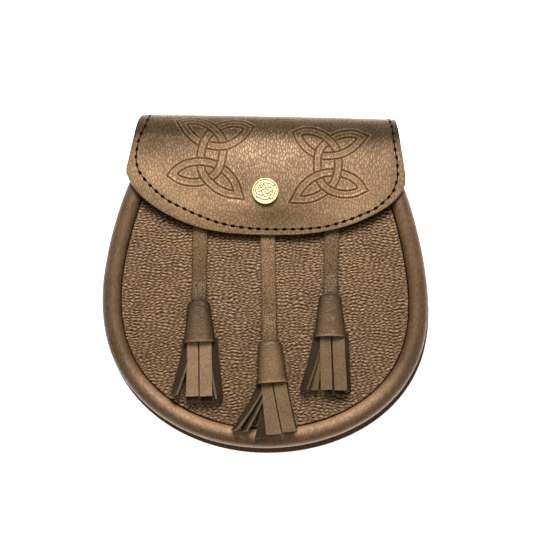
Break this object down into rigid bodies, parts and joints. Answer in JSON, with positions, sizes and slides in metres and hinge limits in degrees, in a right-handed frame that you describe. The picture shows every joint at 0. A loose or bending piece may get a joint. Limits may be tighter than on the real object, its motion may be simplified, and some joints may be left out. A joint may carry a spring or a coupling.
{
  "type": "sporran pouch",
  "caption": "Leather pouch worn at the front of a kilt, with a folded flap, a padded edge roll, tassels and a belt loop behind.",
  "frame": {"origin": "under the middle of the pouch, on the surface that it lies on with its front facing up", "axes": "+Z out of the front of the pouch, +Y towards the fold of the flap, +X to the right of someone facing the front"},
  "size_m": [0.1942, 0.2008, 0.0447],
  "materials": {
    "flap_leather": "pebbled, semi-gloss, tooled",
    "panel_leather": "coarse raised grain",
    "roll_leather": "smooth, padded, semi-gloss",
    "back_leather": "plain, fine grain",
    "tassel_leather": "soft, fine wrinkles",
    "strip_leather": "soft, fine grain, cut edges",
    "stud_brass": "polished, cast relief"
  },
  "bodies": {
    "root": {"back_panel": "back_leather", "belt_loop": "back_leather", "gusset": "back_leather", "edge_roll": "roll_leather", "front_panel": "panel_leather", "flap": "flap_leather", "stud": "stud_brass", "tassel_strap_left": "tassel_leather", "tassel_strap_middle": "tassel_leather", "tassel_strap_right": "tassel_leather", "tassel_cap_left": "tassel_leather", "tassel_cap_middle": "tassel_leather", "tassel_cap_right": "tassel_leather", "tassel_fringe_left": "strip_leather", "tassel_fringe_middle": "strip_leather", "tassel_fringe_right": "strip_leather"}
  },
  "joints": []
}
